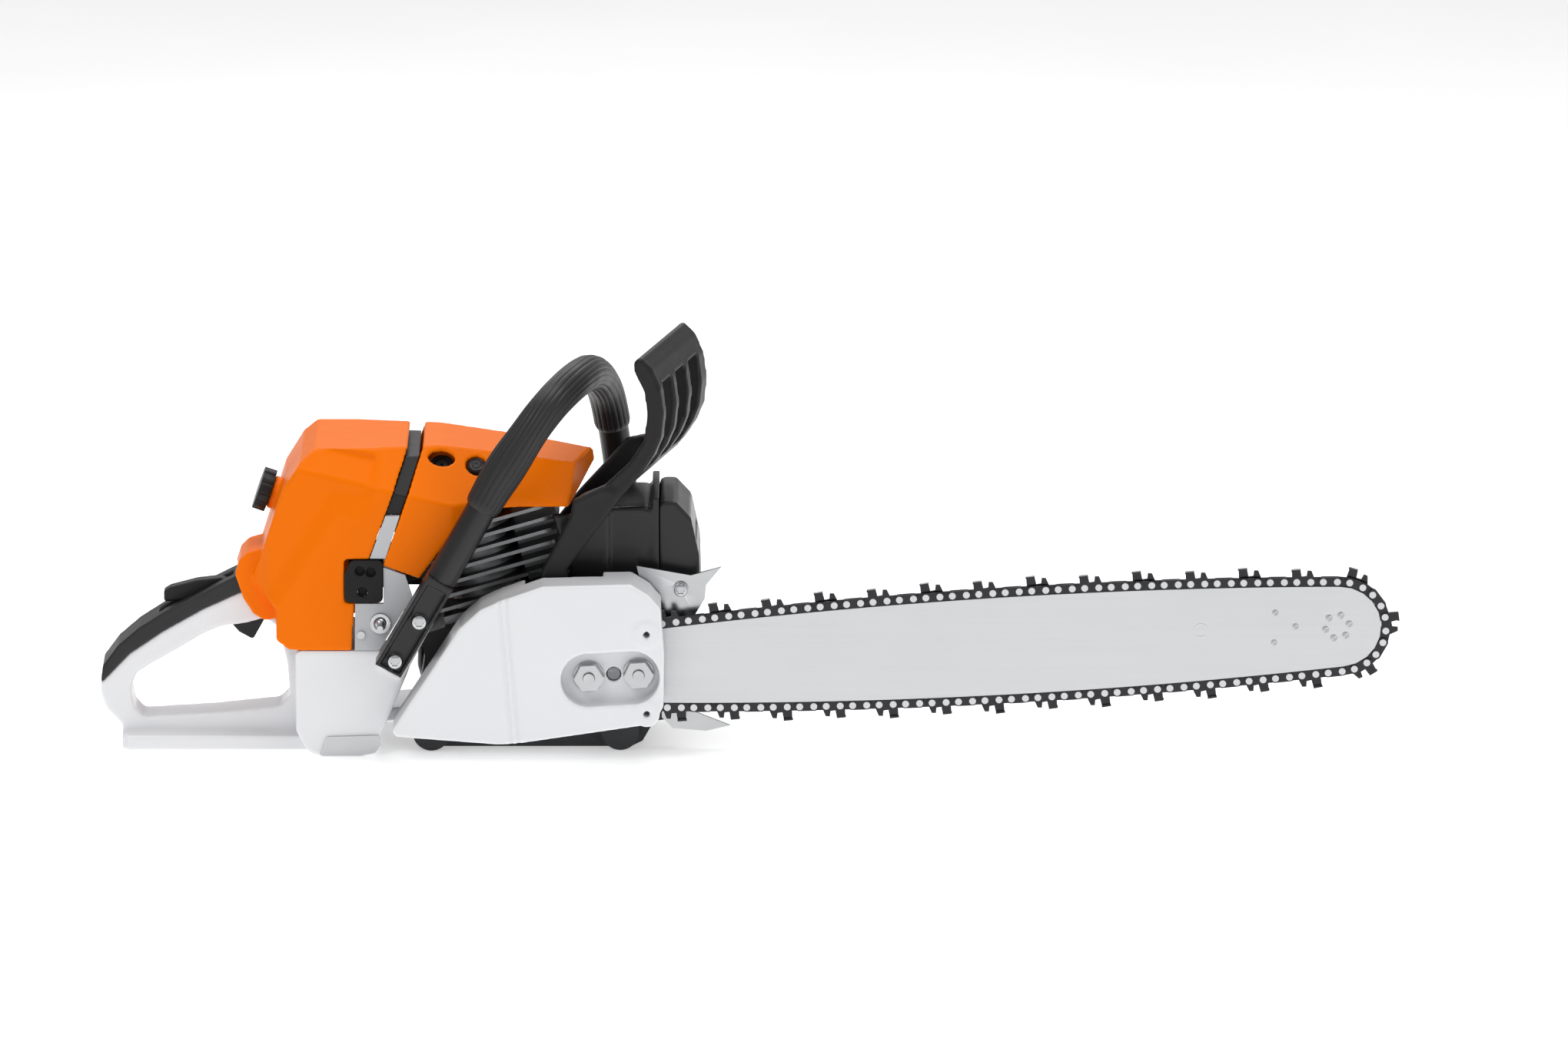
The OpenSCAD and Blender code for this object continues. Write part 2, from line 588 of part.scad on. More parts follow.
module bar_nuts() {
    color("silver") in_bar_frame() for (k = [0, 1]) difference() {
        union() {
            translate([stud_x + k * stud_gap, -66.5, 0]) rotate([90, 0, 0]) cylinder(h = 6.5, r = 10.97, $fn = 6);
            rod_y(stud_x + k * stud_gap, 0, -66.5, -65, 11.5);
        }
        rod_y(stud_x + k * stud_gap, 0, -80, -60, 4);
    }
}
module chain_tensioner() {
    color("gray") in_bar_frame() {
        rod_y(stud_x + stud_gap / 2, 0, -62, -48, 4.6);
        rod_y(stud_x + stud_gap / 2, 13.5, -47.2, -43, 3);
    }
}

// Guide bar and chain
module bar_outline(inset) {
    steps = 60;
    cut = half_loop - arc(sprocket_r, 180 - rear_a) - 42;
    r = bar_edge + inset;
    upper = [for (k = [0:steps]) let (p = path_at(cut * k / steps)) [p[0] + r * cos(p[2] + 90), p[1] + r * sin(p[2] + 90)]];
    lower = [for (k = [steps:-1:1]) [upper[k][0], -upper[k][1]]];
    polygon(concat(upper, [[36 + inset, 18 - inset / 2], [36 + inset, -18 + inset / 2]], lower));
}
module guide_bar() {
    color("lightgray") in_bar_frame() difference() {
        side(bar_y - bar_t / 2, bar_y + bar_t / 2) difference() {
            bar_outline(0);
            hull() for (x = [stud_x - 6, stud_x + stud_gap + 6]) translate([x, 0]) circle(r = 4.2, $fn = 32);
            for (z = [-13.5, 13.5]) translate([stud_x + stud_gap / 2, z]) circle(r = 3.1);
        }
        side(bar_y - 0.9, bar_y + 0.9) difference() {
            offset(delta = 5) bar_outline(0);
            bar_outline(8);
        }
        rod_y(reach, 0, bar_y - 0.9, bar_y + 0.9, 24.6);
    }
}
module nose_sprocket() {
    color("gray") in_bar_frame() side(bar_y - 0.8, bar_y + 0.8) translate([reach, 0]) difference() {
        circle(r = 22);
        for (k = [0:10]) rotate(k * 360 / 11) translate([24.5, 0]) circle(r = 4.6);
    }
}
module drive_links() {
    color("gray") for (k = [0:link_count - 1]) on_path((k + 0.5) * link_pitch) side(bar_y - tang_t / 2, bar_y + tang_t / 2)
        difference() {
            polygon([[-7.6, -2.2], [-5, -3.2], [5, -3.2], [7.6, -2.2], [7.6, 3], [2, 9.2], [-2, 9.2], [-7.6, 3]]);
            for (x = [-1, 1]) translate([x * (link_pitch / 2 - rivet_half), 0]) circle(r = 2);
        }
}
module strap_outline() {
    difference() {
        union() {
            square([10.8, 6.6], center = true);
            for (x = [-1, 1]) translate([x * 5.4, 0]) circle(r = 3.3);
        }
        for (x = [-1, 1]) translate([x * rivet_half, 0]) circle(r = 2);
    }
}
// Side straps: every fourth place on each side holds a cutter instead.
module strap_at(k, near) {
    y0 = near ? bar_y - tang_t / 2 - strap_t : bar_y + tang_t / 2;
    on_path(k * link_pitch) side(y0, y0 + strap_t) strap_outline();
}
module tie_straps() {
    color([0.3, 0.3, 0.31]) for (k = [0:link_count - 1]) {
        if (k % 4 != 0) strap_at(k, true);
        if (k % 4 != 2) strap_at(k, false);
    }
}
module cutter(k, near) {
    s = near ? -1 : 1;
    y0 = near ? bar_y - tang_t / 2 - strap_t : bar_y + tang_t / 2;
    top = bar_y + s * (tang_t / 2 + strap_t);
    on_path(k * link_pitch) {
        side(y0, y0 + strap_t) difference() {
            polygon([[8.4, -2], [7, 3.3], [-7, 3.3], [-8.4, 1], [-7.6, -3], [-5.6, -8.2], [-2.6, -8.4], [-2, -4.4],
                [1.5, -4], [2.5, -9.8], [8.6, -9.4]]);
            for (x = [-1, 1]) translate([x * rivet_half, 0]) circle(r = 2);
        }
        side(min(top, top + s * 2.4), max(top, top + s * 2.4)) polygon([[2.3, -9.8], [2.3, -8.4], [9, -8], [9, -9.3]]);
    }
}
module cutters() {
    color("lightgray") for (k = [0:4:link_count - 1]) {
        cutter(k, true);
        cutter(k + 2, false);
    }
}
module chain_rivets() {
    color("silver") for (k = [0:link_count - 1]) for (e = [-1, 1]) on_path(k * link_pitch + e * rivet_half) {
        rod_y(0, 0, bar_y - tang_t / 2 - strap_t, bar_y + tang_t / 2 + strap_t, 1.8);
        rod_y(0, 0, bar_y - tang_t / 2 - strap_t - 0.6, bar_y - tang_t / 2 - strap_t, 2.45);
        rod_y(0, 0, bar_y + tang_t / 2 + strap_t, bar_y + tang_t / 2 + strap_t + 0.6, 2.45);
    }
}
module bumper_spikes() {
    color("silver") {
        side(-33, -30) polygon([[92, 136], [131, 129], [152.7, 135], [142, 122], [141, 112], [134, 100], [146, 88], [133, 80],
            [133, 58], [146, 48], [133, 38], [134, 28], [159, 18], [142, 14], [118, 16], [110, 24], [110, 98], [96, 118]]);
        rod_y(123.8, 119, -36, -33, 5.4);
    }
}

// Starter
module starter_cover() {
    color([0.8, 0.8, 0.8]) difference() {
        side(62, 118) rounded(10) polygon([[-60, 11], [54, 11], [60, 40], [58, 84], [36, 106], [0, 117], [-44, 117],
            [-66, 90], [-68, 40]]);
        side(60.5, 112) offset(delta = -wall) polygon([[-60, 11], [54, 11], [60, 40], [58, 84], [36, 106], [0, 117],
            [-44, 117], [-66, 90], [-68, 40]]);
        for (k = [0:8]) translate([0, 0, crank_z]) rotate([0, k * 40, 0]) box([14, 108, -2.5], [38, 120, 2.5]);
        translate([-25, 97, 100]) cylinder(h = 30, r = 3);
    }
}
module rope_rotor() {
    color([0.75, 0.75, 0.75]) difference() {
        union() {
            rod_y(0, crank_z, 91, 93, 27);
            rod_y(0, crank_z, 93, 99, 22);
            rod_y(0, crank_z, 99, 101, 27);
            rod_y(0, crank_z, 101, 110, 9);
        }
        rod_y(0, crank_z, 90, 112, 5);
    }
}
module starter_rope() { color("white") translate([-25, 97, 106]) cylinder(h = 11.2, r = 1.8); }
module starter_grip() {
    color([0.1, 0.1, 0.11]) translate([-25, 97, 0]) {
        translate([0, 0, 117.4]) cylinder(h = 9, r = 7);
        translate([0, 8, 0]) side(0, 16) rounded(5) polygon([[-32, 126], [32, 126], [36, 140], [20, 146], [-20, 146], [-36, 140]]);
    }
}

// Handles and guard
module guard_frame() { translate([80, -45, 0]) rotate([0, 0, -14]) translate([-80, 0, 0]) children(); }
module hand_guard() {
    color([0.1, 0.1, 0.11]) difference() {
        union() {
            difference() {
                guard_frame() side(0, 128) polygon(guard_profile);
                box([30, -37, 150], [150, 100, 200]);
                for (k = [0:2]) guard_frame() box([88, 10 + k * 37, 208], [130, 37 + k * 37, 272]);
            }
            side(-45, -38) polygon(arm_outline);
            side(72, 79) polygon(far_arm_outline);
        }
        rod_y(pivot_x, pivot_z, -60, 95, 4);
    }
}
module front_handle() { color([0.15, 0.15, 0.16]) swept_tube(handle_points, tube_r, 0, 15, 60, 16); }
module handle_sleeve() {
    color([0.1, 0.1, 0.11])
        swept_sleeve(handle_points, sleeve_r, tube_r + 0.05, sleeve_from, sleeve_to, (sleeve_to - sleeve_from) * 4, 16);
}
module handle_bracket() {
    color([0.1, 0.1, 0.11]) difference() {
        side(-79, -56) polygon([[-95, 74], [-77, 64], [-39, 129], [-57, 139.5]]);
        side(-80, -76) polygon([[-91.5, 74.5], [-78, 67], [-44, 126], [-57, 133]]);
    }
    color("silver") for (p = [[-81, 76], [-63.5, 105]]) rod_y(p[0], p[1], -78, -76, 5);
}

tank_housing();
rear_grip_cover();
throttle_trigger();
trigger_interlock();
wear_plate();
fuel_cap();
oil_cap();
rear_filter_cover();
filter_cover_knob();
cylinder_cover();
inner_shroud();
control_panel();
carb_grommet();
panel_hardware();
control_lever();
heater_switch();
carburettor();
air_filter();
intake_boot();
engine_cylinder();
spark_plug();
spark_plug_cap();
decompression_button();
muffler();
muffler_front();
crankcase();
main_bearings();
crankshaft();
flywheel();
ignition_module();
piston();
wrist_pin();
connecting_rod();
crank_pin();
clutch_hub();
clutch_shoes();
clutch_drum();
drum_bearing();
rim_sprocket();
brake_band();
oil_pump();
sprocket_cover();
bar_studs();
bar_nuts();
chain_tensioner();
guide_bar();
nose_sprocket();
drive_links();
tie_straps();
cutters();
chain_rivets();
bumper_spikes();
starter_cover();
rope_rotor();
starter_rope();
starter_grip();
hand_guard();
front_handle();
handle_sleeve();
handle_bracket();
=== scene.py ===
"""Looks for the petrol chainsaw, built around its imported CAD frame.

Metres, +X to the bar tip, +Z up, -Y to the camera.
"""
import json
import math

import bpy
import numpy as np
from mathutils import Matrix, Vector


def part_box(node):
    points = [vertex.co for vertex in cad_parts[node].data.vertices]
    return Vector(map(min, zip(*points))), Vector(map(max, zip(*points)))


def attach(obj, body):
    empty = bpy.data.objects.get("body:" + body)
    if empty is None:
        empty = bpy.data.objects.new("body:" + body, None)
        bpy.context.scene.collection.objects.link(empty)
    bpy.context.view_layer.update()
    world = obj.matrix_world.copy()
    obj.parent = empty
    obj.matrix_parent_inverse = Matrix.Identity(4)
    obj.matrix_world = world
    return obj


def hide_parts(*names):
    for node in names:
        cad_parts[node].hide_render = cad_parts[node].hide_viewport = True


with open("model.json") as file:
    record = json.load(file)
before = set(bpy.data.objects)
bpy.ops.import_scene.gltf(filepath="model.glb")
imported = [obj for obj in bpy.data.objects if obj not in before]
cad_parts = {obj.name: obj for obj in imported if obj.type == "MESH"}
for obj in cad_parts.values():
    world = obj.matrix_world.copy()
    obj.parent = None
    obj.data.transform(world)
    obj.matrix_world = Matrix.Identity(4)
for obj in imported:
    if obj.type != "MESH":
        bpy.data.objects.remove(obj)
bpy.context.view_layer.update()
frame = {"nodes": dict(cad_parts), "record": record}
MM = 0.001
nodes = frame["nodes"]
bodies = frame["record"]["behaviour"]["bodies"]
body_of = {n: b for b, ns in bodies.items() for n in ns}
slot_of = {s["node"]: s["material_slot"] for s in frame["record"]["subparts"]}


# ---------------------------------------------------------------- camera and light
CAMERA_ELEVATION = math.radians(13)
CAMERA_DISTANCE = 12
CAMERA_TARGET = (0.198, -0.05, 0.172)
SENSOR_WIDTH = 36
VIEW_WIDTH = 1.125  # width of the picture at the target
CLIP_END = 50
LIGHT_AIM = (0.15, 0, 0.12)
WORLD_STRENGTH = 0.42
FLOOR_HALF_SIDE = 14
FLOOR_DROP = 0.0006  # keeps the floor just clear of the saw's foot


def make_camera():
    """A long lens from the sprocket cover side, looking slightly down."""
    target = Vector(CAMERA_TARGET)
    data = bpy.data.cameras.new("camera")
    data.sensor_width = SENSOR_WIDTH
    data.lens = SENSOR_WIDTH * CAMERA_DISTANCE / VIEW_WIDTH
    data.clip_end = CLIP_END
    camera = bpy.data.objects.new("camera", data)
    bpy.context.scene.collection.objects.link(camera)
    away = Vector((0, -math.cos(CAMERA_ELEVATION), math.sin(CAMERA_ELEVATION)))
    camera.location = target + CAMERA_DISTANCE * away
    camera.rotation_euler = (target - camera.location).to_track_quat("-Z", "Y").to_euler()
    bpy.context.scene.camera = camera


def area_light(name, place, size, power):
    data = bpy.data.lights.new(name, "AREA")
    data.shape = "RECTANGLE"
    data.size, data.size_y = size
    data.energy = power
    light = bpy.data.objects.new(name, data)
    bpy.context.scene.collection.objects.link(light)
    light.location = place
    light.rotation_euler = (Vector(LIGHT_AIM) - Vector(place)).to_track_quat("-Z", "Y").to_euler()


def make_studio():
    area_light("key_softbox", (-1.1, -1.7, 2.0), (1.2, 0.9), 13)
    area_light("top_softbox", (0.2, 0.1, 2.2), (2.2, 0.9), 24)
    area_light("fill_softbox", (1.9, -1.6, 0.9), (0.9, 1.4), 5)
    area_light("back_softbox", (-0.2, 2.0, 1.5), (2.2, 0.8), 10)
    world = bpy.data.worlds.new("studio")
    bpy.context.scene.world = world
    world.use_nodes = True
    background = world.node_tree.nodes["Background"]
    background.inputs["Color"].default_value = (1, 1, 1, 1)
    background.inputs["Strength"].default_value = WORLD_STRENGTH
    bpy.context.scene.view_settings.view_transform = "Standard"
    mesh = bpy.data.meshes.new("floor")
    side = FLOOR_HALF_SIDE
    corners = [(-side, -side, 0), (side, -side, 0), (side, side, 0), (-side, side, 0)]
    mesh.from_pydata(corners, [], [(0, 1, 2, 3)])
    floor = bpy.data.objects.new("floor", mesh)
    bpy.context.scene.collection.objects.link(floor)
    floor.location.z = -FLOOR_DROP
    floor.data.materials.append(floor_paint())


# ---------------------------------------------------------------- materials
EDGE_HIGHLIGHT_POINTINESS = (0.52, 0.6)  # where the painted edge highlight starts and is complete
EDGE_LIFT = 1.25  # how much brighter the painted highlight makes a convex edge
COAT_ROUGHNESS = 0.08
FLOOR_GLOW = 0.42


class Graph:
    """A short way to wire a procedural material."""

    def __init__(self, name):
        self.mat = bpy.data.materials.new(name)
        self.mat.use_nodes = True
        self.tree = self.mat.node_tree
        self.bsdf = self.tree.nodes["Principled BSDF"]
        self.coords = self.tree.nodes.new("ShaderNodeTexCoord").outputs["Object"]

    def link(self, a, b):
        self.tree.links.new(a, b)

    def set(self, **values):
        for key, value in values.items():
            self.bsdf.inputs[key.replace("_", " ")].default_value = value

    def scaled(self, scale):
        node = self.tree.nodes.new("ShaderNodeMapping")
        node.inputs["Scale"].default_value = scale
        self.link(self.coords, node.inputs["Vector"])
        return node.outputs["Vector"]

    def noise(self, scale, detail=4, rough=0.55, vector=None):
        node = self.tree.nodes.new("ShaderNodeTexNoise")
        node.inputs["Scale"].default_value = scale
        node.inputs["Detail"].default_value = detail
        node.inputs["Roughness"].default_value = rough
        self.link(vector or self.coords, node.inputs["Vector"])
        return node.outputs["Fac"]

    def ramp(self, factor, stops):
        node = self.tree.nodes.new("ShaderNodeValToRGB")
        ramp = node.color_ramp
        while len(ramp.elements) < len(stops):
            ramp.elements.new(0.5)
        for element, (at, colour) in zip(ramp.elements, stops):
            element.position = at
            element.color = (*colour, 1)
        self.link(factor, node.inputs["Fac"])
        return node.outputs["Color"]

    def span(self, factor, low, high):
        node = self.tree.nodes.new("ShaderNodeMapRange")
        node.inputs["To Min"].default_value = low
        node.inputs["To Max"].default_value = high
        self.link(factor, node.inputs["Value"])
        return node.outputs["Result"]

    def edge_highlight_mask(self):
        """Mask of the painted edge highlight: high on convex edges, from the mesh's own pointiness."""
        geometry = self.tree.nodes.new("ShaderNodeNewGeometry")
        node = self.tree.nodes.new("ShaderNodeMapRange")
        node.inputs["From Min"].default_value = EDGE_HIGHLIGHT_POINTINESS[0]
        node.inputs["From Max"].default_value = EDGE_HIGHLIGHT_POINTINESS[1]
        self.link(geometry.outputs["Pointiness"], node.inputs["Value"])
        return node.outputs["Result"]

    def mix(self, factor, a, b):
        node = self.tree.nodes.new("ShaderNodeMix")
        node.data_type = "RGBA"
        self.link(factor, node.inputs["Factor"])
        for key, value in (("A", a), ("B", b)):
            socket = [s for s in node.inputs if s.name == key and s.type == "RGBA"][0]
            if isinstance(value, tuple):
                socket.default_value = (*value, 1)
            else:
                self.link(value, socket)
        return [s for s in node.outputs if s.type == "RGBA"][0]

    def bump(self, height, strength, distance):
        node = self.tree.nodes.new("ShaderNodeBump")
        node.inputs["Strength"].default_value = strength
        node.inputs["Distance"].default_value = distance
        self.link(height, node.inputs["Height"])
        self.link(node.outputs["Normal"], self.bsdf.inputs["Normal"])

    def colour(self, socket):
        self.link(socket, self.bsdf.inputs["Base Color"])

    def roughness(self, socket):
        self.link(socket, self.bsdf.inputs["Roughness"])


def floor_paint():
    g = Graph("floor_paint")
    g.colour(g.ramp(g.noise(3), [(0.3, (0.86, 0.86, 0.86)), (0.7, (0.9, 0.9, 0.9))]))
    g.set(Roughness=0.6, Specular_IOR_Level=0.2)
    g.set(Emission_Color=(1, 1, 1, 1), Emission_Strength=FLOOR_GLOW)
    return g.mat


def shade(colour, k):
    """The colour made k times as bright."""
    return tuple(min(1, c * k) for c in colour)


def moulded(name, colour, rough, coat=0.0, grain=900, depth=0.00003, spread=0.1, specular=0.35):
    """Moulded or painted skin: faint mottling, fine grain and convex edges brightened as a painted
    highlight.

    grain and depth set the fineness and height of the surface grain, spread the mottling.
    """
    g = Graph(name)
    mottling = [(0.3, shade(colour, 1 - spread)), (0.7, shade(colour, 1 + spread))]
    base = g.ramp(g.noise(14), mottling)
    # Convex edges get a brighter colour: a painted highlight.
    g.colour(g.mix(g.edge_highlight_mask(), base, shade(colour, EDGE_LIFT)))
    g.roughness(g.span(g.noise(60, 6), rough * 0.8, rough * 1.25))
    g.bump(g.noise(grain, 3), 0.5, depth)
    g.set(Coat_Weight=coat, Coat_Roughness=COAT_ROUGHNESS, Specular_IOR_Level=specular)
    return g.mat


def metal(name, colour, rough, brush=(40, 40, 900), highlight_gain=0.5, spread=0.12):
    """Bare metal with fine directional brushing and convex edges brightened as a painted highlight."""
    g = Graph(name)
    streaks = g.noise(1, 5, 0.6, g.scaled(brush))
    base = g.mix(g.noise(25), shade(colour, 1 - spread), shade(colour, 1 + spread))
    # Convex edges get a brighter colour: a painted highlight.
    g.colour(g.mix(g.edge_highlight_mask(), base, shade(colour, 1 + highlight_gain)))
    g.roughness(g.span(streaks, rough * 0.7, rough * 1.4))
    g.bump(streaks, 0.25, 0.00002)
    g.set(Metallic=1.0)
    return g.mat


def shaded_cutter_chrome():
    """Chrome on faces that look up or along, and near black on faces that look sideways, a painted
    shade.
    """
    g = Graph("cutter_chrome")
    normal = g.tree.nodes.new("ShaderNodeTexCoord").outputs["Normal"]
    parts = g.tree.nodes.new("ShaderNodeSeparateXYZ")
    g.link(normal, parts.inputs["Vector"])
    side_shade = g.tree.nodes.new("ShaderNodeMath")
    side_shade.operation = "ABSOLUTE"
    g.link(parts.outputs["Y"], side_shade.inputs[0])
    streaks = g.noise(1, 5, 0.6, g.scaled((300, 300, 900)))
    chrome = g.mix(streaks, (0.5, 0.51, 0.52), (0.7, 0.71, 0.72))
    # Faces that look sideways are painted near black: painted shade.
    g.colour(g.mix(side_shade.outputs[0], chrome, (0.04, 0.04, 0.043)))
    g.roughness(g.span(streaks, 0.14, 0.34))
    g.set(Metallic=1.0)
    return g.mat


def make_materials():
    plain = {
        "white_shell": ((0.8, 0.81, 0.83), 0.3, 0.25, 1400, 0.000003, 0.01),
        "panel_gray": ((0.52, 0.53, 0.55), 0.4, 0.1, 1400, 0.00001, 0.03),
        "orange_shell": ((0.93, 0.18, 0.0), 0.34, 0.0, 1500, 0.000002, 0.01, 0.08),
        "black_plastic": ((0.012, 0.012, 0.013), 0.4, 0.0, 1800, 0.00005, 0.2, 0.3),
        "soft_grip": ((0.016, 0.016, 0.017), 0.42, 0.0, 2200, 0.00006, 0.2, 0.4),
        "black_rubber": ((0.011, 0.011, 0.012), 0.6, 0.0, 1500, 0.00008, 0.2, 0.25),
        "black_metal": ((0.012, 0.012, 0.013), 0.34, 0.15, 1300, 0.00003, 0.2),
        "cast_alloy": ((0.022, 0.023, 0.025), 0.5, 0.0, 500, 0.00012, 0.25),
        "filter_fleece": ((0.3, 0.31, 0.33), 0.9, 0.0, 700, 0.0004, 0.2),
        "nylon": ((0.5, 0.5, 0.48), 0.5),
        "rope": ((0.65, 0.64, 0.6), 0.85, 0.0, 900, 0.0003, 0.2),
    }
    made = {name: moulded(name, *values) for name, values in plain.items()}
    made["bright_steel"] = metal("bright_steel", (0.48, 0.49, 0.5), 0.22, highlight_gain=0.2)
    made["dark_steel"] = metal("dark_steel", (0.2, 0.2, 0.21), 0.38)
    made["bar_steel"] = metal("bar_steel", (0.64, 0.65, 0.66), 0.42, (4, 60, 700), 0.02, 0.03)
    made["chain_steel"] = metal("chain_steel", (0.035, 0.035, 0.038), 0.36, (200, 200, 900), 0.3)
    made["cutter_chrome"] = shaded_cutter_chrome()
    made["rivet_steel"] = metal("rivet_steel", (0.42, 0.42, 0.43), 0.34, (400, 400, 400))
    # Its fin edges are painted 2.6 times as bright: a painted highlight.
    made["engine_alloy"] = metal("engine_alloy", (0.17, 0.175, 0.18), 0.42, (500, 500, 500), 1.6)
    return made


# ---------------------------------------------------------------- mesh helpers
WELD_DISTANCE = 0.00002
EDGE_RADIUS = 0.0006
EDGE_SEGMENTS = 2
EDGE_ANGLE = math.radians(32)
FINE_NODES = {"drive_links", "tie_straps", "cutters", "chain_rivets"}  # too small to round
RELAX, SWELL = 0.55, -0.57  # the two weights of one smoothing pass
PASSES_AFTER_SCULPT = 4
TANGENT_STEP = 0.02  # in steps of the spline's parameter
SWEEP_SIDE = (1, -0.45, 0)  # the handle never runs along this, so it fixes a sweep's twist
STAR_LOBES = 6
STAR_DEPTH = 0.16


def add_weld(obj):
    weld = obj.modifiers.new("weld", "WELD")
    weld.merge_threshold = WELD_DISTANCE


def add_bevel(obj):
    bevel = obj.modifiers.new("edge_round", "BEVEL")
    bevel.width = EDGE_RADIUS
    bevel.segments = EDGE_SEGMENTS
    bevel.limit_method = "ANGLE"
    bevel.angle_limit = EDGE_ANGLE
    bevel.use_clamp_overlap = True
    bevel.harden_normals = False


def dress_cad_nodes(materials):
    """Gives each carried-over CAD node its material and small rounded edges."""
    for name, obj in nodes.items():
        obj.data.materials.clear()
        obj.data.materials.append(materials[slot_of[name]])
        add_weld(obj)
        if name not in FINE_NODES:
            add_bevel(obj)


def soft_copy(node, voxel, passes, sculpt):
    """A rounded, evenly meshed shell in place of a CAD node.

    The node is remeshed, smoothed without shrinking and kept inside its own CAD box.
    """
    mesh = nodes[node].data.copy()
    obj = bpy.data.objects.new("soft_" + node, mesh)
    bpy.context.scene.collection.objects.link(obj)
    add_weld(obj)
    remesh = obj.modifiers.new("remesh", "REMESH")
    remesh.mode = "VOXEL"
    remesh.voxel_size = voxel
    apply_modifiers(obj)
    smooth_points(obj.data, passes)
    if sculpt:
        points = read_points(obj.data)
        write_points(obj.data, sculpt(points))
        smooth_points(obj.data, PASSES_AFTER_SCULPT)
    low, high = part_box(node)
    write_points(obj.data, np.clip(read_points(obj.data), low, high))
    for polygon in obj.data.polygons:
        polygon.use_smooth = True
    obj.data.materials.clear()
    obj.data.materials.append(materials[slot_of[node]])
    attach(obj, body_of[node])
    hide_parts(node)
    return obj


def apply_modifiers(obj):
    """Replaces the object's mesh by its mesh after the modifiers."""
    graph = bpy.context.evaluated_depsgraph_get()
    mesh = bpy.data.meshes.new_from_object(obj.evaluated_get(graph))
    obj.modifiers.clear()
    obj.data = mesh


def read_points(mesh):
    points = np.zeros(len(mesh.vertices) * 3)
    mesh.vertices.foreach_get("co", points)
    return points.reshape(-1, 3)


def write_points(mesh, points):
    mesh.vertices.foreach_set("co", points.ravel())
    mesh.update()


def smooth_points(mesh, passes):
    """Taubin smoothing: each pass relaxes the points, then swells them back."""
    points = read_points(mesh)
    edges = np.zeros(len(mesh.edges) * 2, int)
    mesh.edges.foreach_get("vertices", edges)
    edges = edges.reshape(-1, 2)
    count = np.bincount(edges.ravel(), minlength=len(points)).clip(1)[:, None]
    for _ in range(passes):
        for weight in (RELAX, SWELL):
            total = np.zeros_like(points)
            for axis in range(3):
                for here, there in ((0, 1), (1, 0)):
                    neighbours = points[edges[:, there], axis]
                    total[:, axis] += np.bincount(edges[:, here], neighbours, len(points))
            points += weight * (total / count - points)
    write_points(mesh, points)


def new_piece(name, verts, faces, material, body, sharp_angle):
    """A smooth-shaded piece with an edge wherever faces meet at more than sharp_angle degrees."""
    mesh = bpy.data.meshes.new(name)
    mesh.from_pydata([tuple(v) for v in verts], [], faces)
    mesh.update()
    obj = bpy.data.objects.new(name, mesh)
    bpy.context.scene.collection.objects.link(obj)
    mesh.materials.append(materials[material])
    for polygon in mesh.polygons:
        polygon.use_smooth = True
    mesh.set_sharp_from_angle(angle=math.radians(sharp_angle))
    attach(obj, body)
    return obj


def tube_faces(rows, sides):
    """Quads between rows of points, with a flat cap on each end."""
    faces = []
    for j in range(rows - 1):
        for k in range(sides):
            n = (k + 1) % sides
            faces.append((j * sides + k, j * sides + n, (j + 1) * sides + n, (j + 1) * sides + k))
    faces.append(tuple(range(sides - 1, -1, -1)))
    faces.append(tuple((rows - 1) * sides + k for k in range(sides)))
    return faces


def spline(points, t):
    """Catmull-Rom point at parameter t."""
    last = len(points) - 1
    i = max(0, min(int(math.floor(t)), last - 1))
    f = t - i
    picked = (max(i - 1, 0), i, i + 1, min(i + 2, last))
    a, b, c, d = (np.array(points[k], float) for k in picked)
    square = 2 * a - 5 * b + 4 * c - d
    cube = 3 * b - a - 3 * c + d
    return 0.5 * (2 * b + (c - a) * f + square * f * f + cube * f ** 3)


def sweep(name, points, profile, start, stop, rings, sides, material, body):
    """A closed tube along a spline. profile(t, angle) gives its radius in millimetres."""
    verts = []
    for j in range(rings + 1):
        t = start + (stop - start) * j / rings
        centre = spline(points, t)
        along = spline(points, t + TANGENT_STEP) - spline(points, t - TANGENT_STEP)
        along /= np.linalg.norm(along)
        u = np.cross(along, SWEEP_SIDE)
        u /= np.linalg.norm(u)
        w = np.cross(along, u)
        for k in range(sides):
            angle = 2 * math.pi * k / sides
            outward = u * math.cos(angle) + w * math.sin(angle)
            verts.append((centre + profile(t, angle) * outward) * MM)
    return new_piece(name, verts, tube_faces(rings + 1, sides), material, body, 50)


def turned(name, place, axis, rows, sides, material, body, sharp_angle):
    """A turned piece: rows list (radius(angle), height) in millimetres along axis."""
    turn = Vector(axis).to_track_quat("Z", "Y").to_matrix()
    verts = []
    for radius, height in rows:
        for k in range(sides):
            angle = 2 * math.pi * k / sides
            r = radius(angle)
            point = Vector((r * math.cos(angle), r * math.sin(angle), height))
            verts.append(Vector(place) * MM + turn @ point * MM)
    return new_piece(name, verts, tube_faces(len(rows), sides), material, body, sharp_angle)


def lathe(name, place, axis, profile, material, body, sides):
    """A round turned piece: profile lists (radius, height) in millimetres along axis."""
    rows = [(lambda angle, r=radius: r, height) for radius, height in profile]
    return turned(name, place, axis, rows, sides, material, body, 40)


def star_screw(name, place, axis, radius):
    """A pan-head screw with a six-lobed drive recess."""
    def lobed(r):
        return lambda angle: r * (1 - STAR_DEPTH * (0.5 - 0.5 * math.cos(STAR_LOBES * angle)))

    profile = [(radius, 0.0), (radius, 0.9), (radius * 0.9, 1.7)]
    rows = [(lambda angle, r=r: r, height) for r, height in profile]
    rows += [(lobed(radius * 0.62), 2.0), (lobed(radius * 0.6), 0.7)]
    return turned(name, place, axis, rows, 72, "bright_steel", "saw", 35)


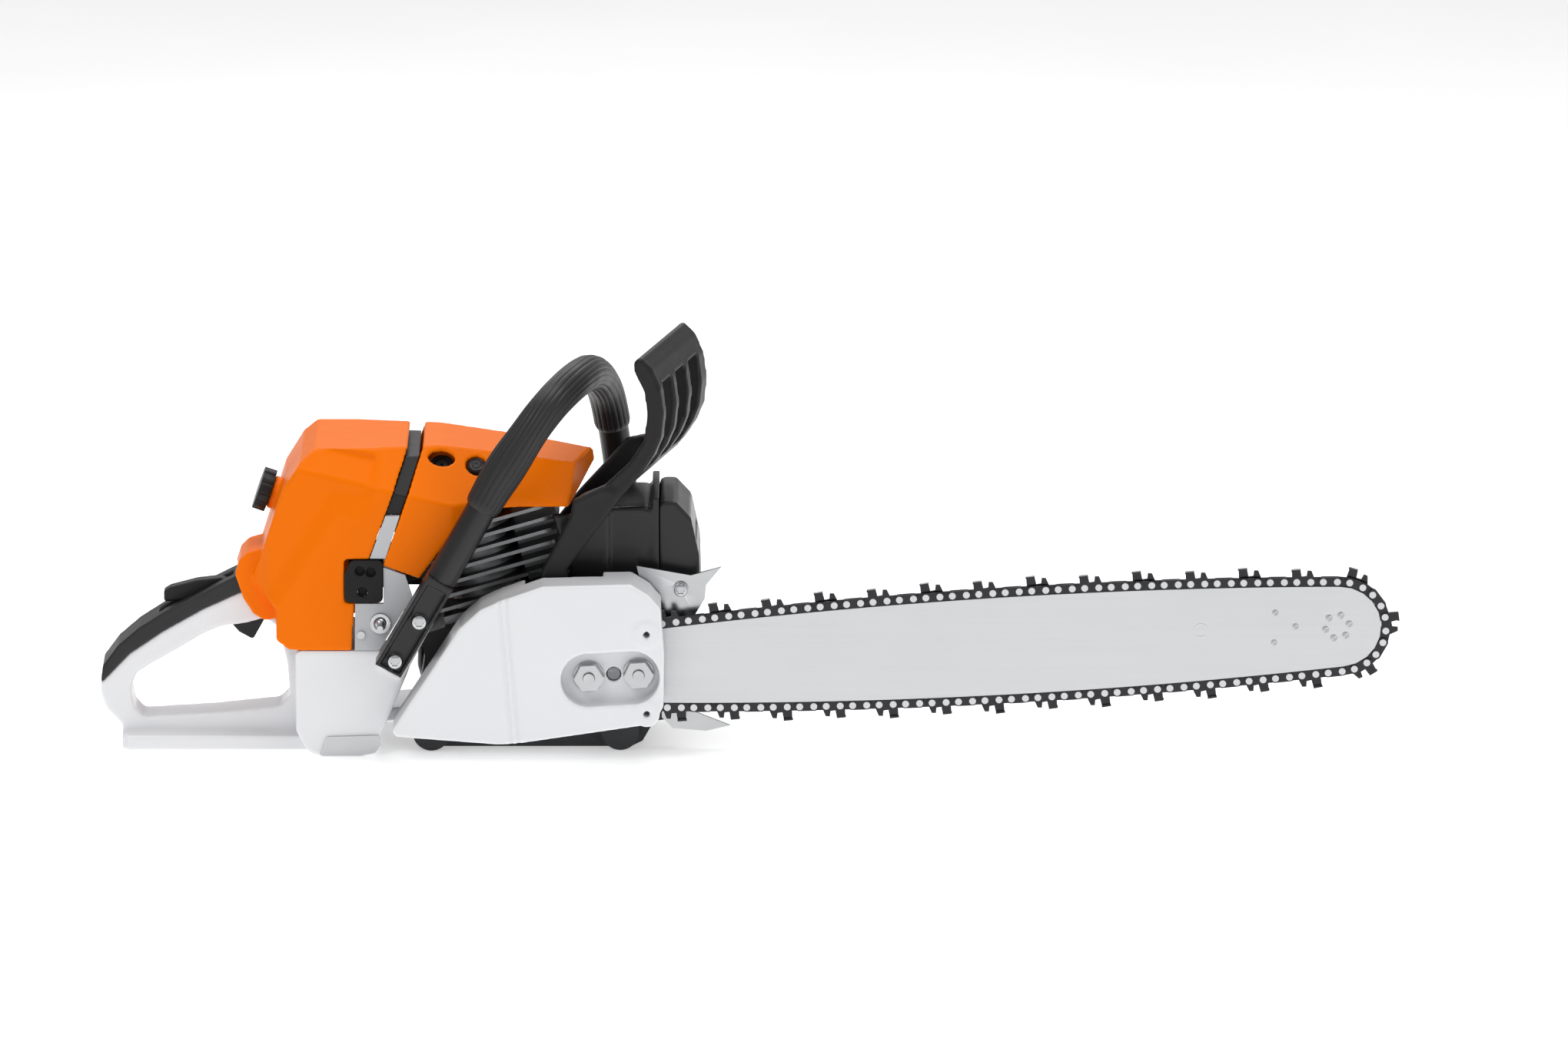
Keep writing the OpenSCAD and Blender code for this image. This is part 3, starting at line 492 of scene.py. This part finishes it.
# ---------------------------------------------------------------- handles
HANDLE_POINTS = [
    (-47.8, -67, 134.4), (-29, -67, 167.5), (-8, -67, 205), (16, -65, 242),
    (30, -57, 259), (41, -38, 267), (50, -10, 269), (57, 22, 266),
    (63, 56, 256), (69, 84, 238), (74, 98, 210), (80, 103, 165),
    (86, 103, 118), (90, 100, 70), (92, 96, 30), (92, 94, 10.2),
]
TUBE_RADIUS = 11
SLEEVE = (1.5, 10)  # where the sleeve starts and stops, in steps along HANDLE_POINTS
SLEEVE_END = 0.12  # length of the rounded ends
SLEEVE_BORE = 11.3
SLEEVE_WALL = 1.3
COLLAR_PLACE, COLLAR_WIDTH, COLLAR_HEIGHT = 2.3, 0.45, 1.6
RIB_PAIRS, RIB_HEIGHT, RIB_FULLNESS = 9, 0.55, 0.6


def sleeve_radius(t, angle):
    """Lengthwise ribs, a thicker collar near the lower end, and rounded ends."""
    ends = min(1, (t - SLEEVE[0]) / SLEEVE_END, (SLEEVE[1] - t) / SLEEVE_END)
    swell = COLLAR_HEIGHT * math.exp(-((t - COLLAR_PLACE) / COLLAR_WIDTH) ** 2)
    rib = RIB_HEIGHT * abs(math.cos(RIB_PAIRS * angle)) ** RIB_FULLNESS
    return SLEEVE_BORE + max(0.0, ends) ** 0.5 * (SLEEVE_WALL + swell + rib)


def make_handle():
    last = len(HANDLE_POINTS) - 1
    tube = sweep("handle_tube", HANDLE_POINTS, lambda t, angle: TUBE_RADIUS,
                 0, last, 150, 40, "black_metal", "saw")
    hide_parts("front_handle")
    sleeve = sweep("handle_grip_sleeve", HANDLE_POINTS, sleeve_radius,
                   SLEEVE[0], SLEEVE[1], 220, 144, "soft_grip", "saw")
    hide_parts("handle_sleeve")


# ---------------------------------------------------------------- sculpted shells
PANEL_CORNER, PANEL_UPPER, PANEL_LOWER = (-121, 176), (-88, 171), (-152, 126)  # (x, z)
PANEL_RELIEF = 4.2
CREASE_FOOT, CREASE_TOP = (4.9, 17), (-3.6, 123)  # (x, z)
CREASE_OFFSET, CREASE_WIDTH, CREASE_DEPTH = 2.2, 1.3, 2.0
FACE_FALL = 0.035


def ease(values, low, high):
    """0 below low, 1 above high, smooth in between."""
    t = np.clip((values - low) / (high - low), 0, 1)
    return t * t * (3 - 2 * t)


def beyond(points, corner, toward, sign):
    """Distance in millimetres of (x, z) from a line, positive on the side that sign picks."""
    along = np.subtract(toward, corner)
    along = along / np.linalg.norm(along)
    x = points[:, 0] / MM - corner[0]
    z = points[:, 2] / MM - corner[1]
    return sign * (x * -along[1] + z * along[0])


def sculpt_rear_cover(points):
    """Presses the near side inwards round a V-shaped panel, which is left standing."""
    near = 1 - ease(points[:, 1] / MM, -36, -30)
    above = beyond(points, PANEL_CORNER, PANEL_UPPER, 1)
    behind = beyond(points, PANEL_CORNER, PANEL_LOWER, -1)
    outside = np.maximum(above * (1 - ease(points[:, 0] / MM, -112, -88)), behind)
    low = ease(points[:, 2] / MM, 92, 122)
    points[:, 1] += MM * near * low * PANEL_RELIEF * ease(outside, 0, 17)
    return points


def sculpt_sprocket_cover(points):
    """A double crease runs down the outer face, and the face falls away slightly behind it."""
    face = 1 - ease(points[:, 1] / MM, -78.5, -76)
    across = beyond(points, CREASE_FOOT, CREASE_TOP, 1)
    groove = np.exp(-((across - CREASE_OFFSET) / CREASE_WIDTH) ** 2)
    groove += np.exp(-((across + CREASE_OFFSET) / CREASE_WIDTH) ** 2)
    points[:, 1] += MM * face * (CREASE_DEPTH * groove + FACE_FALL * np.maximum(across, 0))
    return points


SHELLS = [  # node, mesh size in metres, smoothing passes, sculpting
    ("tank_housing", 0.0014, 40, None),
    ("rear_grip_cover", 0.0011, 70, None),
    ("rear_filter_cover", 0.0013, 24, sculpt_rear_cover),
    ("cylinder_cover", 0.0013, 16, None),
    ("sprocket_cover", 0.0012, 8, sculpt_sprocket_cover),
    ("hand_guard", 0.0013, 50, None),
    ("muffler", 0.0015, 20, None),
    ("muffler_front", 0.0013, 20, None),
    ("starter_cover", 0.0014, 8, None),
    ("starter_grip", 0.001, 12, None),
    ("throttle_trigger", 0.0008, 6, None),
    ("trigger_interlock", 0.0008, 8, None),
    ("handle_bracket", 0.001, 5, None),
    ("carb_grommet", 0.0008, 4, None),
]


# ---------------------------------------------------------------- small hardware
NEAR, FAR = (0, -1, 0), (0, 1, 0)
BAR_TILT = math.radians(3.4)
BAR_HEIGHT = 59  # z of the bar's centre line at x = 0
NEAR_FACE, FAR_FACE = -47.3, -42.7  # y of the bar's two faces
NOSE_RADIUS = 31.5
NOSE_RIVETS, NOSE_RIVET_CIRCLE, NOSE_RIVET_TURN = 6, 8.7, 10
BUTTON_TILT = math.radians(42)


def bar_point(u, w):
    """(x, z) in millimetres of a point given along and above the tilted bar's centre line."""
    x = u * math.cos(BAR_TILT) - w * math.sin(BAR_TILT)
    return x, BAR_HEIGHT + u * math.sin(BAR_TILT) + w * math.cos(BAR_TILT)


def domed(radius, height):
    """Profile of a low rounded head with a slightly hollow middle."""
    return [(radius, -0.4), (radius, height * 0.45), (radius * 0.9, height * 0.85),
            (radius * 0.7, height), (radius * 0.35, height * 0.9), (0.05, height * 0.86)]


def ring(radius, width, height):
    """Profile of a raised ring, as a pressed mark leaves."""
    return [(radius, -0.2), (radius, height * 0.6), (radius - width * 0.5, height),
            (radius - width, height * 0.6), (radius - width, -0.2)]


def make_bar_marks():
    """Nose sprocket rivets, body rivets and one pressed ring on both faces of the bar."""
    low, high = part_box("guide_bar")
    nose_u = (high[0] / MM) / math.cos(BAR_TILT) - NOSE_RADIUS
    marks = []
    for k in range(NOSE_RIVETS):
        angle = math.radians(60 * k + NOSE_RIVET_TURN)
        u, w = NOSE_RIVET_CIRCLE * math.cos(angle), NOSE_RIVET_CIRCLE * math.sin(angle)
        marks.append((nose_u + u, w, domed(2.7, 0.35), "rivet_steel"))
    for u, w in [(nose_u - 44, 13), (nose_u - 46, -9), (nose_u - 30, 2)]:
        marks.append((u, w, domed(2.4, 0.25), "rivet_steel"))
    marks.append((nose_u - 98, 3, ring(5.4, 1.1, 0.22), "bar_steel"))
    for face, (y, axis) in enumerate([(NEAR_FACE, NEAR), (FAR_FACE, FAR)]):
        for k, (u, w, profile, material) in enumerate(marks):
            x, z = bar_point(u, w)
            name = "bar_mark_%d_%d" % (face + 1, k + 1)
            lathe(name, (x, y, z), axis, profile, material, "saw", 28)


def make_screws():
    for i, (x, z) in enumerate([(-81, 76), (-63.5, 105)]):
        star_screw("bracket_screw_%d" % (i + 1), (x, -77.9, z), NEAR, 5.4)
    star_screw("spike_screw_1", (123.8, -35.9, 119), NEAR, 4.9)
    for i, (x, z) in enumerate([(-50, 28), (46, 20), (50, 78), (-52, 88)]):
        star_screw("starter_screw_%d" % (i + 1), (x, 117.9, z), FAR, 4.2)


def make_fittings():
    """The decompression button's face, the cover lock beside it and the grommet's inserts."""
    axis = Vector((0, -math.sin(BUTTON_TILT), math.cos(BUTTON_TILT)))
    face = [(5.9, 4.6), (5.9, 5.2), (5.2, 5.8), (4.6, 5.5), (3.4, 5.4),
            (2.9, 5.9), (1.6, 5.9), (1.2, 5.5), (0.05, 5.4)]
    lathe("decompression_button_face", (-23, -22, 205), axis, face, "black_plastic", "decompression", 48)
    lock = [(8.9, -9), (8.9, -3.6), (8.2, -3.1), (5.6, -3.1), (5.2, -4.2),
            (4.6, -4.2), (4.3, -3.4), (1.2, -3.4), (1, -5), (0.05, -5)]
    lathe("cover_lock", (-48, -21.5, 210), axis, lock, "black_plastic", "saw", 48)
    insert = [(3.5, -1), (3.5, 0), (2.7, 0.1), (2.3, -0.8), (0.05, -1)]
    for i, (x, z) in enumerate([(-106.5, 136.4), (-98.7, 135.4), (-104.7, 120.8)]):
        lathe("grommet_insert_%d" % (i + 1), (x, -48.2, z), NEAR, insert, "black_rubber", "saw", 32)


make_camera()
materials = make_materials()
make_studio()
dress_cad_nodes(materials)
for shell in SHELLS:
    soft_copy(*shell)
make_handle()
make_screws()
make_fittings()
make_bar_marks()
